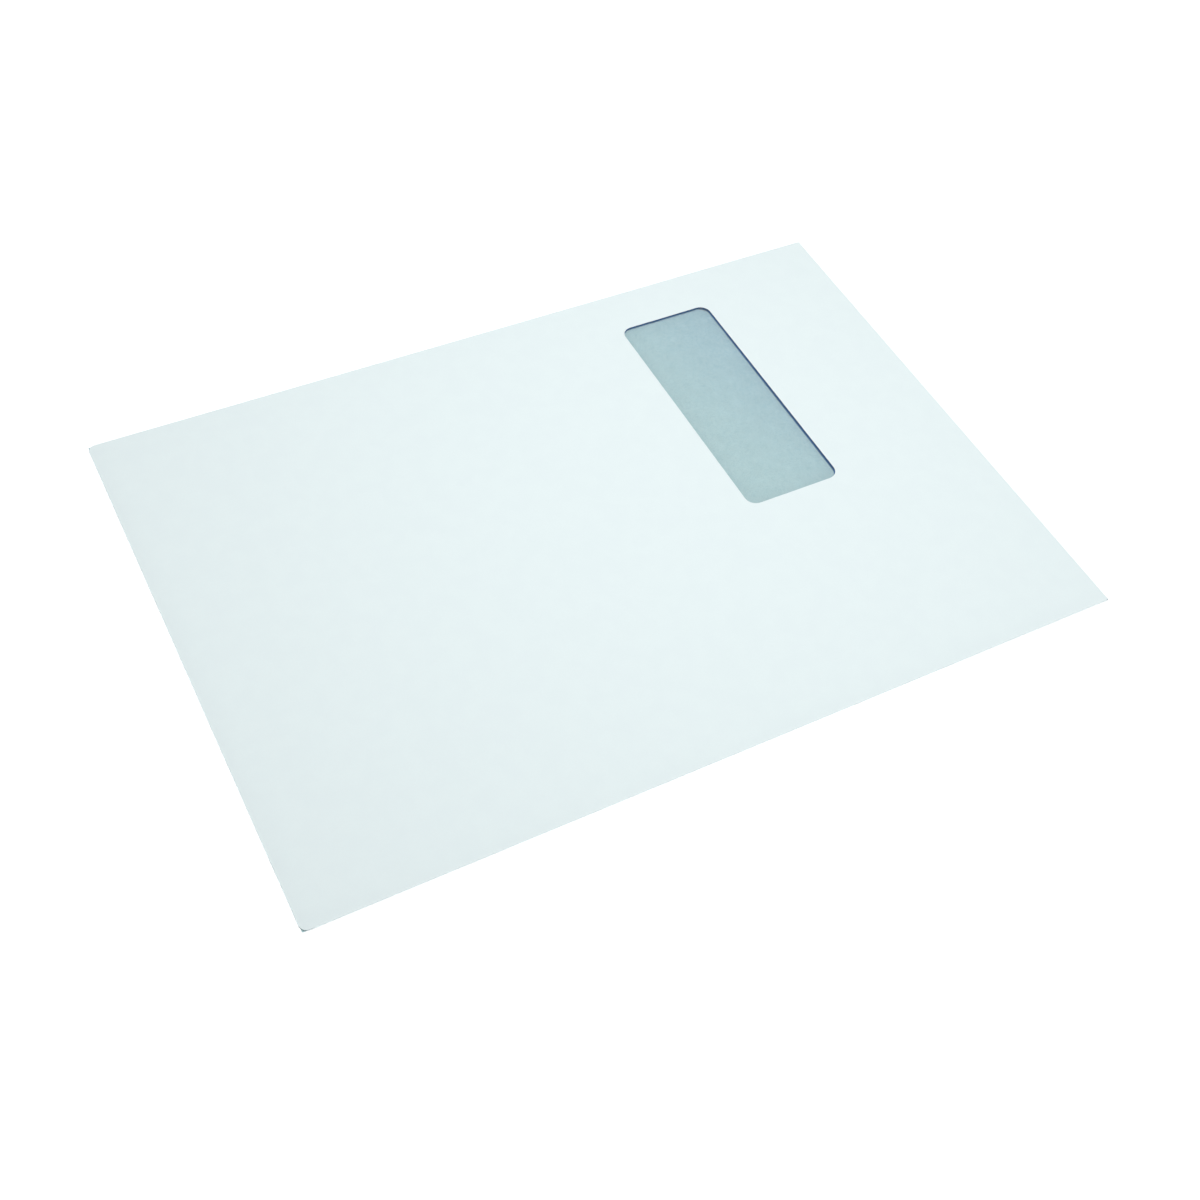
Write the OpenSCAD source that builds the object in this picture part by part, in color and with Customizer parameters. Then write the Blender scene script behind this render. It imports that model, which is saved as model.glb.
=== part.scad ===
// Pocket envelope with a window, lying face up. One paper blank is folded into a front panel,
// two side flaps, a back panel glued over them and a closure flap that is folded under and not
// sealed. A clear film is glued behind the window. The origin is under the middle of the
// envelope, +X points to the reader's right and +Y to the end that opens.

/* [Envelope] */
// Width between the two long folded edges
envelope_w = 229; // [190:1:330]
// Length from the bottom fold to the fold of the closure flap
envelope_l = 324; // [240:1:460]
// Thickness of the paper
paper_t = 0.13; // [0.08:0.01:0.2]
// Air inside the crease of a side flap
crease_gap = 0.16; // [0.12:0.02:0.3]
// Radius of the cut corners at the two ends of the bottom fold
corner_r = 2.2; // [1:0.1:4]

/* [Lie of the front panel] */
// How far the front panel stands up in its middle
crown_rise = 1.1; // [0.2:0.1:2.5]
// Distance of the highest line of the front panel from the top fold
crown_top = 64; // [30:1:120]
// Length over which the pocket steps up onto the folded closure flap
step_l = 30; // [10:1:50]

/* [Window] */
// Length of the window, across the envelope
window_l = 109.8; // [60:0.1:120]
// Height of the window, along the envelope
window_h = 41.4; // [25:0.1:60]
// Distance of the window from the left folded edge
window_left = 22.1; // [15:0.1:45]
// Distance of the window from the top fold
window_top = 61.9; // [20:0.1:110]
// Radius of the corners of the window
window_r = 4.5; // [2:0.5:10]

/* [Window film] */
// Thickness of the film
film_t = 0.04; // [0.02:0.01:0.06]
// How far the film reaches past the window on each side
film_margin = 9; // [8:0.5:12]
// Radius of the corners of the film
film_r = 2; // [1:0.5:6]
// Thickness of the glue between the film and the front panel
film_glue_t = 0.03; // [0.02:0.01:0.04]
// Width of the line of glue round the window
film_glue_w = 5; // [2:0.5:6]
// Distance of the glue from the edge of the window
film_glue_gap = 1.5; // [0.5:0.5:1.5]

/* [Side flaps] */
// Width of each side flap
side_flap_w = 22; // [18:1:60]
// Distance of each side flap from the cut corner at the bottom fold
side_flap_foot = 1; // [0.5:0.5:8]
// Distance of each side flap from the top fold
side_flap_head = 1; // [0.5:0.5:18]
// How far the free edge of a side flap is cut back at each end
side_flap_cut = 12; // [4:1:18]
// Width that is left at the two ends of a side flap
side_flap_tip = 2; // [1:0.5:4]

/* [Back panel] */
// Distance of the back panel from each long folded edge
back_inset = 0.3; // [0.3:0.1:1.5]
// Distance of the free edge of the back panel from the top fold
back_top = 14; // [6:1:30]
// Radius of the corners of the back panel beside the bottom fold
back_r = 0.4; // [0.3:0.1:1.5]
// Thickness of the seam glue
seam_glue_t = 0.03; // [0.02:0.01:0.06]
// Width of the seam glue
seam_glue_w = 9; // [4:1:10]
// Distance of the seam glue from the edge of the back panel
seam_glue_inset = 4; // [3:0.5:6]
// Length of the side flap's free edge that stays dry at each end
seam_glue_end = 6; // [2:1:30]

/* [Closure flap] */
// Depth of the closure flap, from the top fold to its free edge
closure_h = 50; // [40:1:90]
// How far each end of the closure flap slopes in towards its free edge
closure_slope = 14; // [4:1:40]
// Radius of the free corners of the closure flap
closure_r = 9; // [2:0.5:20]
// Thickness of the dry gum on the closure flap
gum_t = 0.02; // [0.01:0.01:0.04]
// Width of the strip of gum
gum_w = 22; // [6:1:26]
// Distance of the gum from the free edge of the closure flap
gum_edge = 5; // [2:0.5:8]
// Distance of the gum from each sloping end of the closure flap
gum_end = 8; // [4:0.5:30]
// Air between the gum and the back panel
gum_air = 0.02; // [0.01:0.01:0.1]

/* [Hidden] */

$fn = 48;
// Steps of a half round crease, of a small round corner and of a large one
crease_n = 6;
corner_n = 3;
fillet_n = 6;
// Steps of the front panel: across, below the step, on the step and above it
across_n = 12;
below_n = 10;
step_n = 4;
above_n = 4;
// How far a cutting tool reaches past what it cuts, and the flap's free edge past the step
past = 1;
// Depth of the slit that frees the back panel's corners from the bottom fold
slit = 0.1;

// Heights of the layers at the bottom end, where the back panel lies on the table
side_level = paper_t + seam_glue_t;
front_level = side_level + paper_t + crease_gap;
// The pocket lies this much higher where the closure flap is under it
lift_h = paper_t + gum_t + gum_air;

// Outer radii of the creases: at the sides, at the bottom fold and at the top fold
side_r = paper_t + crease_gap / 2;
foot_r = (front_level + paper_t) / 2;
head_r = (front_level + lift_h + paper_t) / 2;
// Where the flat panels end and the creases start
crease_x = envelope_w / 2 - side_r;
foot_y = foot_r - envelope_l / 2;
head_y = envelope_l / 2 - head_r;
foot_half = crease_x - corner_r;

// The step up onto the closure flap ends just before the flap's free edge
closure_y = envelope_l / 2 - closure_h;
step_hi = closure_y - past;
step_lo = step_hi - step_l;
crown_y = envelope_l / 2 - crown_top;

// Middle of the window
window_x = window_left + window_l / 2 - envelope_w / 2;
window_y = envelope_l / 2 - window_top - window_h / 2;

// Side flaps: where their ends are, and where their full width starts and ends
side_lo = foot_y + corner_r + side_flap_foot;
side_hi = envelope_l / 2 - side_flap_head;
side_full_lo = side_lo + side_flap_cut;
side_full_hi = side_hi - side_flap_cut;
back_half = envelope_w / 2 - back_inset;
back_y = envelope_l / 2 - back_top;
seam_x = back_half - seam_glue_inset;
seam_lo = side_full_lo + seam_glue_end;
seam_hi = min(side_full_hi, back_y) - seam_glue_end;

function even(lo, hi, n) = [for (i = [0:n - 1]) lo + (hi - lo) * i / n];
function between(list, lo, hi) = [for (v = list) if (v > lo && v < hi) v];
function backwards(list) = [for (i = [len(list) - 1:-1:0]) list[i]];
function arc(c, r, from, to, n) = [
    for (i = [0:n])
        let (a = from + (to - from) * i / n)
        [c[0] + r * cos(a), c[1] + r * sin(a)]
];

// Round corner of an outline at p, between the points before and after it
function fillet(before, p, after, r, n) =
    let (
        u = (before - p) / norm(before - p),
        v = (after - p) / norm(after - p),
        half = acos(u * v) / 2,
        c = p + (u + v) / norm(u + v) * r / sin(half),
        start = p + u * r / tan(half) - c,
        from = atan2(start[1], start[0]),
        turn = (cross(u, v) > 0 ? -1 : 1) * (180 - 2 * half)
    )
    arc(c, r, from, from + turn, n);

// Outline of the cut corners beside the bottom fold: [half width, y] up the right side
foot_corner = arc([foot_half, foot_y + corner_r], corner_r, -90, 0, corner_n);
back_corner = arc([back_half - back_r, foot_y + slit + back_r], back_r, -90, 0, corner_n);
// Outline of the closure flap: [half width, y] down the right side
closure_side = concat(
    [[crease_x, head_y]],
    fillet([crease_x, head_y], [crease_x - closure_slope, closure_y], [0, closure_y], closure_r, fillet_n)
);

// Stations of the front panel, across and along
xs = concat(even(-crease_x, crease_x, across_n), [crease_x]);
ys = concat(
    [for (p = foot_corner) p[1]],
    [side_lo],
    even(side_full_lo, step_lo, below_n),
    even(step_lo, step_hi, step_n),
    even(step_hi, side_full_hi, above_n),
    [side_full_hi, side_hi, head_y]
);
step_ys = concat(even(step_lo, step_hi, step_n), [step_hi]);

// How much higher the layers lie at y, because of the closure flap under them
lift_steps = [for (y = step_ys) let (r = (y - step_lo) / step_l) [y, lift_h * r * r * (3 - 2 * r)]];
function lift(y) = lookup(y, lift_steps);
// The front panel's gentle crown: nothing at the folded edges, all of it on the highest line
function crown_across(x) = 1 - pow(abs(x) / crease_x, 3);
function crown_along(y) = y < crown_y
    ? 1 - pow((crown_y - y) / (crown_y - foot_y), 3)
    : 1 - pow((y - crown_y) / (head_y - crown_y), 2);
// Underside of the front panel
function front_z(x, y) = front_level + lift(y) + crown_rise * crown_across(x) * crown_along(y);

// The blank is a grid of cells. Its rows run across the paper, from the free edge of the back
// panel over the bottom fold, the front panel and the top fold to the free edge of the closure
// flap. Its columns run along the paper, from the left side flap to the right one. A row holds
// the points of the paper's outer face and those of its inner face.

// Row with side flaps at y: r is the radius of its creases, side_z the flaps' height and top
// the front panel's height over its underside
function wide_face(y, r, side_z, top) =
    let (
        c = side_level + side_r + lift(y),
        w = y == side_lo || y == side_hi ? side_flap_tip : side_flap_w - side_r,
        profile = concat(
            [[w - crease_x, side_z]],
            arc([-crease_x, c], r, 270, 90, crease_n),
            [for (i = [1:across_n - 1]) [xs[i], front_z(xs[i], y) + top]],
            arc([crease_x, c], r, 90, -90, crease_n),
            [[crease_x - w, side_z]]
        )
    )
    [for (p = profile) [p[0], y, p[1]]];
function wide_row(y) = [
    wide_face(y, side_r, side_level + lift(y), paper_t),
    wide_face(y, side_r - paper_t, side_level + lift(y) + paper_t, 0)
];

// Row without side flaps: its two ends also stand in for the columns that it lacks
function narrow_face(half, y, zs) =
    let (
        last = len(xs) - 1,
        row = [for (i = [0:last]) [xs[i] * half / crease_x, y, zs[i]]]
    )
    concat([for (i = [0:crease_n]) row[0]], row, [for (i = [0:crease_n]) row[last]]);
function flat_row(half, outer, inner) = [
    narrow_face(half, outer[0], [for (x = xs) outer[1]]),
    narrow_face(half, inner[0], [for (x = xs) inner[1]])
];
function panel_row(half, y) = [
    narrow_face(half, y, [for (x = xs) front_z(x, y) + paper_t]),
    narrow_face(half, y, [for (x = xs) front_z(x, y)])
];
function back_row(half, y) = flat_row(half, [y, lift(y)], [y, lift(y) + paper_t]);
// Rows of a half round crease at y, without its two ends
function crease_rows(half, y, r, from, to) =
    let (
        outer = arc([y, r], r, from, to, crease_n),
        inner = arc([y, r], r - paper_t, from, to, crease_n)
    )
    [for (i = [1:crease_n - 1]) flat_row(half, outer[i], inner[i])];

back_rows = concat(
    [back_row(back_half, back_y)],
    [for (y = backwards(between(step_ys, foot_y, back_y))) back_row(back_half, y)],
    [for (p = backwards(back_corner)) back_row(p[0], p[1])],
    [back_row(foot_half, foot_y)]
);
foot_rows = crease_rows(foot_half, foot_y, foot_r, 270, 90);
foot_panel_rows = [for (p = foot_corner) panel_row(p[0], p[1])];
side_rows = [for (y = ys) if (y >= side_lo && y <= side_hi) wide_row(y)];
head_panel_rows = [panel_row(crease_x, head_y)];
head_rows = crease_rows(crease_x, head_y, head_r, 90, -90);
closure_rows = [for (p = closure_side) flat_row(p[0], [p[1], 0], [p[1], paper_t])];
rows = concat(back_rows, foot_rows, foot_panel_rows, side_rows, head_panel_rows, head_rows, closure_rows);

// Columns and rows where the side flaps start and end
first_col = crease_n + 1;
last_col = first_col + across_n;
first_side_row = len(back_rows) + len(foot_rows) + len(foot_panel_rows);
last_side_row = first_side_row + len(side_rows) - 1;

// Whether the blank has paper between rows r and r + 1 and columns k and k + 1
function has_cell(r, k) =
    r >= 0 && r < len(rows) - 1 && k >= 0 && k < last_col + crease_n + 1
    && ((k >= first_col && k < last_col) || (r >= first_side_row && r < last_side_row));

// The folded paper without its window
module sheet() {
    n_col = len(rows[0][0]);
    inner = len(rows) * n_col;
    function quad(a, b, c, d) = [[a, b, c], [a, c, d]];
    faces = [
        for (r = [0:len(rows) - 2])
            for (k = [0:n_col - 2])
                let (a = r * n_col + k, b = a + 1, c = a + n_col + 1, d = a + n_col)
                if (has_cell(r, k))
                    each concat(
                        [[a, d, c], [a, c, b]],
                        [[inner + a, inner + c, inner + d], [inner + a, inner + b, inner + c]],
                        has_cell(r, k - 1) ? [] : quad(inner + d, d, a, inner + a),
                        has_cell(r, k + 1) ? [] : quad(inner + b, b, c, inner + c),
                        has_cell(r - 1, k) ? [] : quad(inner + a, a, b, inner + b),
                        has_cell(r + 1, k) ? [] : quad(inner + c, c, d, inner + d)
                    )
    ];
    polyhedron(
        points = concat([for (row = rows) each row[0]], [for (row = rows) each row[1]]),
        faces = faces
    );
}

// Layer under the front panel that follows its crown, over the stations of the window film
module under_front(drop, thick) {
    film_x = window_l / 2 + film_margin + 2 * crease_x / across_n;
    film_y = window_h / 2 + film_margin + envelope_l / below_n;
    us = between(xs, window_x - film_x, window_x + film_x);
    vs = between(ys, window_y - film_y, window_y + film_y);
    nu = len(us);
    nv = len(vs);
    low = nu * nv;
    top = [for (v = vs) for (u = us) [u, v, front_z(u, v) - drop]];
    cells = [for (j = [0:nv - 2]) for (i = [0:nu - 2]) j * nu + i];
    tops = [for (a = cells) each [[a, a + nu, a + nu + 1], [a, a + nu + 1, a + 1]]];
    lows = [for (f = tops) [f[2] + low, f[1] + low, f[0] + low]];
    near = [for (a = [0:nu - 2]) [low + a, a, a + 1, low + a + 1]];
    far = [for (a = [low - nu:low - 2]) [low + a + 1, a + 1, a, low + a]];
    left = [for (a = [0:nu:low - 2 * nu]) [low + a + nu, a + nu, a, low + a]];
    right = [for (a = [nu - 1:nu:low - nu - 1]) [low + a, a, a + nu, low + a + nu]];
    polyhedron(
        points = concat(top, [for (p = top) p - [0, 0, thick]]),
        faces = concat(tops, lows, near, far, left, right)
    );
}

// Outline of the window, grown by some margin
module window_outline(grow, r) {
    w = window_l + 2 * grow;
    h = window_h + 2 * grow;
    translate([window_x, window_y]) {
        square([w - 2 * r, h], center = true);
        square([w, h - 2 * r], center = true);
        for (sx = [-1, 1], sy = [-1, 1])
            translate([sx * (w / 2 - r), sy * (h / 2 - r)])
                circle(r);
    }
}

// Upright tool in the shape of a grown window, through all layers above the back panel
module window_tool(grow, r) {
    bottom = side_level;
    translate([0, 0, bottom])
        linear_extrude(front_level + lift_h + crown_rise + paper_t + past - bottom)
            window_outline(grow, r);
}

// Seam glue between a side flap and the back panel, which follows the step
module seam_glue(x_lo, x_hi) {
    stations = concat([seam_lo], between(step_ys, seam_lo, seam_hi), [seam_hi]);
    lower = [for (y = stations) [y, paper_t + lift(y)]];
    upper = [for (y = backwards(stations)) [y, paper_t + seam_glue_t + lift(y)]];
    color([0.93, 0.92, 0.86])
        translate([x_lo, 0, 0])
            rotate([90, 0, 90])
                linear_extrude(x_hi - x_lo)
                    polygon(concat(lower, upper));
}

module folded_blank() {
    color([0.91, 0.96, 0.96])
        difference() {
            sheet();
            window_tool(0, window_r);
        }
}

module window_film() {
    color([0.68, 0.79, 0.81, 0.45])
        intersection() {
            under_front(film_glue_t, film_t);
            window_tool(film_margin, film_r);
        }
}

module window_glue() {
    color([0.93, 0.93, 0.88])
        intersection() {
            under_front(0, film_glue_t);
            difference() {
                window_tool(film_glue_gap + film_glue_w, window_r + film_glue_gap + film_glue_w);
                window_tool(film_glue_gap, window_r + film_glue_gap);
            }
        }
}

module left_seam_glue() {
    seam_glue(-seam_x, seam_glue_w - seam_x);
}

module right_seam_glue() {
    seam_glue(seam_x - seam_glue_w, seam_x);
}

module flap_gum() {
    lo = closure_y + gum_edge;
    slope = closure_slope / (head_y - closure_y);
    low_x = crease_x - closure_slope + gum_edge * slope - gum_end;
    high_x = low_x + gum_w * slope;
    color([0.90, 0.89, 0.80])
        translate([0, 0, paper_t])
            linear_extrude(gum_t)
                polygon([[-low_x, lo], [low_x, lo], [high_x, lo + gum_w], [-high_x, lo + gum_w]]);
}

folded_blank();
window_film();
window_glue();
left_seam_glue();
right_seam_glue();
flap_gum();
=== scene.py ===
"""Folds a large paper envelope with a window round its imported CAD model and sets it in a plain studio."""

import math
from types import SimpleNamespace

import bmesh
import bpy
from mathutils import Matrix, Vector


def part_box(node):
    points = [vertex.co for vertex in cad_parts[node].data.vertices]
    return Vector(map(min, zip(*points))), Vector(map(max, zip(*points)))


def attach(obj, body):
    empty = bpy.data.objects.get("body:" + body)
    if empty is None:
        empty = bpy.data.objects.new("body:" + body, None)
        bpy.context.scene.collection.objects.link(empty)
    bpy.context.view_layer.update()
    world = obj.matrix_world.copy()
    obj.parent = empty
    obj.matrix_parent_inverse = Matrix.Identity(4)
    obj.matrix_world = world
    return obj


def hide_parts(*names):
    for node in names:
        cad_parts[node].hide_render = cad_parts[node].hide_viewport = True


bl_info = {
    "name": "Window Envelope",
    "version": (1, 0, 0),
    "blender": (4, 5, 0),
    "location": "View3D > Sidebar > Envelope",
    "description": "Folds a paper envelope with a window and sets it in a plain studio",
    "category": "Add Mesh",
}

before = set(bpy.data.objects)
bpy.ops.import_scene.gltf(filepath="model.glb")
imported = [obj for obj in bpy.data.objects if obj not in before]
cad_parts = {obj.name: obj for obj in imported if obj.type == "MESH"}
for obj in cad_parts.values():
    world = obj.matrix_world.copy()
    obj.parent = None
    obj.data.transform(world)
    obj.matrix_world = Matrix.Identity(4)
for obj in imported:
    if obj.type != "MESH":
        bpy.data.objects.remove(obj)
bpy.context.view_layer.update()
BLANK_LO, BLANK_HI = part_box("folded_blank")
FILM_LO, FILM_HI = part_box("window_film")

# Lengths in metres
NEAR = 2e-5  # points this close to a line are on it
FILM_MARGIN = 0.009  # how far the film reaches past the window
PANEL_GAP = 0.0065  # between the lines that cut the panels
FILM_GAP = 0.0055  # between the lines that cut the film and its glue
HOLE_MARGIN = 0.004  # width of the ring of faces round the window
STEP_END = 0.001  # from the closure flap's free edge to the upper end of the step
SHADE_OFF_CENTRE = 0.00025  # how far the place inside the painted shade ring sits to the left of the window
SHADE_RING_INNER = (-0.0003, 0.0001)  # distances outside that place between which the painted shade ring starts
SHADE_RING_OUTER = (0.008, 0.02)  # distances outside it between which the painted shade ring ends
INK_AND_SHADE_EDGE = (0.0004, 0.0008)  # distances outside the window between which the cut edge's blue, partly ink and partly painted shade, ends
TOP_LEFT_SHADE_FROM, TOP_LEFT_SHADE_TO = -0.03, 0.05  # distances past the window's middle between which the painted shade darkens the print towards the top left
RELIEF = 0.00001  # height of the fine relief of paper and glue
FLOOR_WIDTH = 12.0
FLOOR_DROP = 0.00005  # how far the floor lies under the envelope
NEAR_FLOOR, FAR_FLOOR = 0.25, 0.8  # distances between which the floor's glow grows
LAMP_WIDTH = 0.6

# Steps and shares
CLOSE_SHARE = 0.4  # an evenly spaced line nearer to a key than this share of the gap gives way to it
ROLL_LINES = (0.35, 1.7, 2.9, 4.6)  # places of the cuts beside a fold, in lengths of the front panel's roll
ROLL_SHARE, SWELL_SHARE = 0.6, 0.4  # what the quick roll and the slow swell give to the front panel's rise
CREASE_STEPS, TOP_CREASE_STEPS = 10, 12  # faces round a side or bottom crease, and round the top one
WINDOW_SQUARES = (22, 8)  # squares of the grid that gives the window's outline its points
SMOOTH_ANGLE = math.radians(40)

# The room's light and the camera
HORIZON_POWER = 3.0  # how closely the room's light keeps to the horizon
SENSOR_WIDTH = 36.0  # millimetres
CLIP_NEAR, CLIP_FAR = 0.01, 50.0  # metres
CAMERA_RIGHT = Vector((0.47283, 0.87688, 0.08669))  # the camera's own axes in the room
CAMERA_UP = Vector((-0.7114, 0.32183, 0.62476))
CAMERA_BACK = Vector((0.51994, -0.35708, 0.77599))


# ---------------------------------------------------------------- sizes and colours


def size(name, description, default):
    """A length in metres that a user would change."""
    return bpy.props.FloatProperty(
        name=name,
        description=description,
        default=default,
        min=0.0,
        precision=5,
        unit="LENGTH",
        subtype="DISTANCE",
    )


def colour(name, description, default):
    """A colour that a user would change, in linear light."""
    return bpy.props.FloatVectorProperty(
        name=name, description=description, default=default, min=0.0, max=1.0, size=3, subtype="COLOR"
    )


class EnvelopeSizes(bpy.types.PropertyGroup):
    """Sizes of the folded paper, its window and its film."""

    width: size("Width", "Between the two long folded edges", BLANK_HI.x - BLANK_LO.x)
    length: size("Length", "From the bottom fold to the top fold", BLANK_HI.y - BLANK_LO.y)
    paper: size("Paper", "Thickness of the paper", 0.00013)
    crease_gap: size("Crease Gap", "Air inside the crease of a side flap", 0.00016)
    corner: size("Cut Corner", "Radius of the cut corners beside the bottom fold", 0.0022)
    crown: size("Crown", "How far the front panel stands up in its middle", 0.001097)
    crown_top: size("Crown Place", "Distance of the front panel's highest line from the top fold", 0.064)
    crown_roll: size("Crown Roll", "How soon the front panel rises beside a fold", 0.0025)
    step: size("Step", "Length over which the pocket steps up onto the closure flap", 0.03)
    window_length: size(
        "Window Length", "Length of the window, across the envelope", FILM_HI.x - FILM_LO.x - 2 * FILM_MARGIN
    )
    window_height: size(
        "Window Height", "Height of the window, along the envelope", FILM_HI.y - FILM_LO.y - 2 * FILM_MARGIN
    )
    window_left: size(
        "Window Left", "Distance of the window from the left edge", FILM_LO.x + FILM_MARGIN - BLANK_LO.x
    )
    window_top: size(
        "Window Top", "Distance of the window from the top fold", BLANK_HI.y - FILM_HI.y + FILM_MARGIN
    )
    window_corner: size("Window Corner", "Radius of the window's corners", 0.0045)
    film: size("Film", "Thickness of the film", 0.00004)
    film_margin: size("Film Margin", "How far the film reaches past the window", FILM_MARGIN)
    film_corner: size("Film Corner", "Radius of the film's corners", 0.002)
    film_glue: size("Film Glue", "Thickness of the glue between film and paper", 0.00003)
    film_glue_width: size("Film Glue Width", "Width of the line of glue round the window", 0.005)
    film_glue_gap: size("Film Glue Gap", "Distance of that line from the window's edge", 0.0015)
    side_flap: size("Side Flap", "Width of each side flap", 0.022)
    side_foot: size("Side Flap Foot", "Distance of a side flap from the cut corner", 0.001)
    side_head: size("Side Flap Head", "Distance of a side flap from the top fold", 0.001)
    side_cut: size("Side Flap Cut", "How far a side flap's free edge is cut back at each end", 0.012)
    side_tip: size("Side Flap Tip", "Width left at a side flap's two ends", 0.002)
    back_inset: size("Back Inset", "Distance of the back panel from each long edge", 0.0003)
    back_top: size("Back Top", "Distance of the back panel's free edge from the top fold", 0.014)
    back_corner: size("Back Corner", "Radius of the back panel's corners beside the bottom fold", 0.0004)
    seam_glue: size("Seam Glue", "Thickness of the glue under a side flap", 0.00003)
    closure: size("Closure Flap", "Depth of the closure flap", 0.05)
    closure_slope: size("Closure Slope", "How far each end of the closure flap slopes in", 0.014)
    closure_corner: size("Closure Corner", "Radius of the closure flap's free corners", 0.009)
    gum: size("Gum", "Thickness of the gum and of the air over it", 0.00004)


class EnvelopeColours(bpy.types.PropertyGroup):
    """Colours of the paper, its inside print, the painted shade round the window, the film and the glue."""

    paper: colour("Paper", "Outside of the paper", (0.795, 0.89, 0.899))
    paper_shade: colour("Paper Clouds", "Slightly denser clouds in the paper", (0.786, 0.88, 0.892))
    cut: colour("Cut Edge", "Cut edges of the paper", (0.8, 0.86, 0.87))
    tint_ground: colour("Tint Ground", "Paper between the lines of the inside print", (0.459, 0.634, 0.649))
    tint_ink: colour("Tint Ink", "Ink of the inside print", (0.391, 0.575, 0.602))
    # Painted shade: a deep blue laid round the window's place on the inside print and on the window's cut edge,
    # for the shade under the front panel's edges.
    deep_ink_and_painted_shade: colour("Deep Ink And Painted Shade", "Dense inside print round the window's place", (0.03, 0.19, 0.5))
    film: colour("Film", "Haze of the film", (0.86, 0.91, 0.93))
    glue: colour("Glue", "Dry glue", (0.86, 0.85, 0.78))
    gum: colour("Gum", "Dry gum of the closure flap", (0.82, 0.8, 0.7))
    floor: colour("Floor", "Floor under the envelope", (0.94, 0.945, 0.95))


class EnvelopeStudio(bpy.types.PropertyGroup):
    """Camera and lights."""

    camera_place: bpy.props.FloatVectorProperty(
        name="Camera Place",
        description="Where the camera stands",
        default=(0.35877, -0.21449, 0.47229),
        unit="LENGTH",
        subtype="TRANSLATION",
    )
    lens: bpy.props.FloatProperty(
        name="Lens", description="Focal length of the camera in millimetres", default=49.18, min=1.0
    )
    shift: bpy.props.FloatProperty(
        name="Shift", description="Sideways shift of the camera's picture", default=-0.0459
    )
    key_place: bpy.props.FloatVectorProperty(
        name="Key Place",
        description="Where the large light overhead hangs",
        default=(-0.028, 0.071, 0.7),
        unit="LENGTH",
        subtype="TRANSLATION",
    )
    key_power: bpy.props.FloatProperty(
        name="Key Light",
        description="Power of the large light overhead",
        default=4.65,
        min=0.0,
        unit="POWER",
    )
    room: bpy.props.FloatProperty(
        name="Room Light", description="Strength of the room's light near the horizon", default=2.8, min=0.0
    )
    floor_glow: bpy.props.FloatProperty(
        name="Floor Glow", description="Light that the floor gives off near the envelope", default=0.33, min=0.0
    )
    far_glow: bpy.props.FloatProperty(
        name="Far Glow",
        description="Light that the floor gives off where the large light doesn't reach",
        default=0.9,
        min=0.0,
    )


def lie(s):
    """Works out where the panels and creases lie from the sizes."""
    side_level = s.paper + s.seam_glue
    front_level = side_level + s.paper + s.crease_gap
    lift = s.paper + s.gum
    side_r = s.paper + s.crease_gap / 2
    foot_r = (front_level + s.paper) / 2
    head_r = (front_level + lift + s.paper) / 2
    crease_x = s.width / 2 - side_r
    foot_y = foot_r - s.length / 2
    closure_y = s.length / 2 - s.closure
    side_lo = foot_y + s.corner + s.side_foot
    window_x = s.window_left + s.window_length / 2 - s.width / 2
    window_y = s.length / 2 - s.window_top - s.window_height / 2
    return SimpleNamespace(
        side_level=side_level,
        front_level=front_level,
        lift=lift,
        side_r=side_r,
        foot_r=foot_r,
        head_r=head_r,
        crease_x=crease_x,
        foot_y=foot_y,
        head_y=s.length / 2 - head_r,
        foot_half=crease_x - s.corner,
        closure_y=closure_y,
        step_lo=closure_y - STEP_END - s.step,
        step_hi=closure_y - STEP_END,
        crown_y=s.length / 2 - s.crown_top,
        roll=s.crown_roll,
        side_lo=side_lo,
        side_hi=s.length / 2 - s.side_head,
        back_half=s.width / 2 - s.back_inset,
        back_y=s.length / 2 - s.back_top,
        window=Vector((window_x, window_y)),
    )


def step_share(at, y):
    """How much of the step onto the closure flap a point at y has taken, from 0 to 1."""
    r = min(max((y - at.step_lo) / (at.step_hi - at.step_lo), 0.0), 1.0)
    return r * r * (3 - 2 * r)


def rise(away, reach, roll):
    """Share of its height that the front panel has at a distance from a fold: a roll, then a swell."""
    away = min(max(away, 0.0), reach)
    return ROLL_SHARE * (1 - math.exp(-away / roll)) + SWELL_SHARE * (1 - (1 - away / reach) ** 3)


def crown_share(at, x, y):
    """How much of the front panel's crown a point has, from 0 at the folds to 1 on its highest line."""
    across = rise(at.crease_x - abs(x), at.crease_x, at.roll)
    if y < at.crown_y:
        along = rise(y - at.foot_y, at.crown_y - at.foot_y, at.roll)
    else:
        along = 1 - ((y - at.crown_y) / (at.head_y - at.crown_y)) ** 2
    return max(across * along, 0.0)


# ---------------------------------------------------------------- modelling by hand


def select_only(piece):
    """Selects one piece alone in object mode, so that no other changes with it."""
    if bpy.context.mode != "OBJECT":
        bpy.ops.object.mode_set(mode="OBJECT")
    bpy.ops.object.select_all(action="DESELECT")
    piece.select_set(True)
    bpy.context.view_layer.objects.active = piece


def rectangle(name, centre, width, height, z):
    """Adds a flat rectangle at its place and leaves it in edit mode."""
    bpy.ops.object.select_all(action="DESELECT")
    bpy.ops.mesh.primitive_plane_add(size=1.0, calc_uvs=False, location=(0, 0, 0))
    piece = bpy.context.object
    piece.name = piece.data.name = name
    bpy.ops.object.mode_set(mode="EDIT")
    bpy.ops.mesh.select_all(action="SELECT")
    bpy.ops.transform.resize(value=(width, height, 1), center_override=(0, 0, 0))
    bpy.ops.transform.translate(value=(centre[0], centre[1], z))
    return piece


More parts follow.
